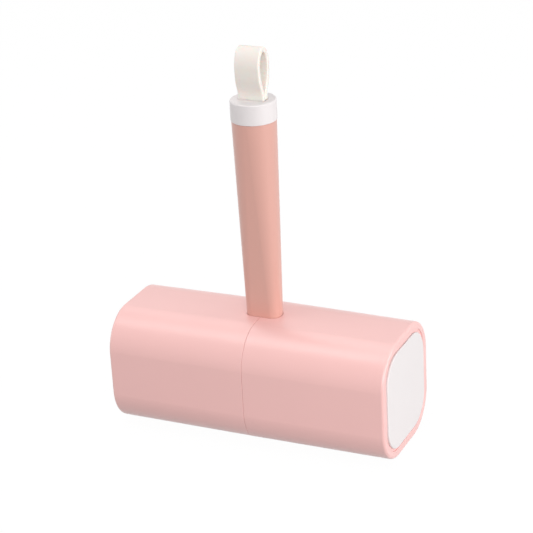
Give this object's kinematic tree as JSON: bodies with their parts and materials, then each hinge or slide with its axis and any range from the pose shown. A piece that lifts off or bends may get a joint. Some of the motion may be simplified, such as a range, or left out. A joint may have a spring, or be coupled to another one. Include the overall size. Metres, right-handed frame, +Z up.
{
  "type": "lint roller",
  "caption": "Hand-held sticky lint roller in a square-section case that pulls apart sideways, with a tapering handle and a hanging strap.",
  "frame": {"origin": "middle of the closed case's flat bottom", "axes": "+Z up along the handle, +X along the case to the right, -Y towards the front"},
  "size_m": [0.176, 0.073, 0.2359],
  "materials": {
    "case_pink": "satin moulded, fine texture",
    "handle_pink": "satin moulded",
    "white_plastic": "satin moulded",
    "frame_plastic": "satin moulded",
    "strap_rubber": "soft matte",
    "steel": "plain",
    "cardboard": "spiral wound",
    "sticky_paper": "tacky sheen"
  },
  "bodies": {
    "frame": {"yoke": "frame_plastic", "axle_pin_left": "frame_plastic", "axle_pin_right": "frame_plastic", "handle_tube": "handle_pink", "handle_wedge": "frame_plastic", "handle_screw": "steel", "handle_washer": "steel", "handle_cap": "white_plastic", "strap_pin": "steel", "strap_loop": "strap_rubber"},
    "roll": {"hub_left": "frame_plastic", "hub_right": "frame_plastic", "core_tube": "cardboard", "adhesive_roll": "sticky_paper", "outer_sheet": "sticky_paper"},
    "case_left": {"cover_left": "case_pink", "end_plate_left": "white_plastic"},
    "case_right": {"cover_right": "case_pink", "end_plate_right": "white_plastic"}
  },
  "joints": [
    {"name": "roll_spin", "type": "hinge", "parent": "frame", "child": "roll", "pos_m": [0, 0, 0.031], "axis": [1, 0, 0], "continuous": true},
    {"name": "cover_left_slide", "type": "slide", "parent": "frame", "child": "case_left", "axis": [-1, 0, 0], "range_m": [0, 0.1]},
    {"name": "cover_right_slide", "type": "slide", "parent": "frame", "child": "case_right", "axis": [1, 0, 0], "range_m": [0, 0.1]}
  ]
}
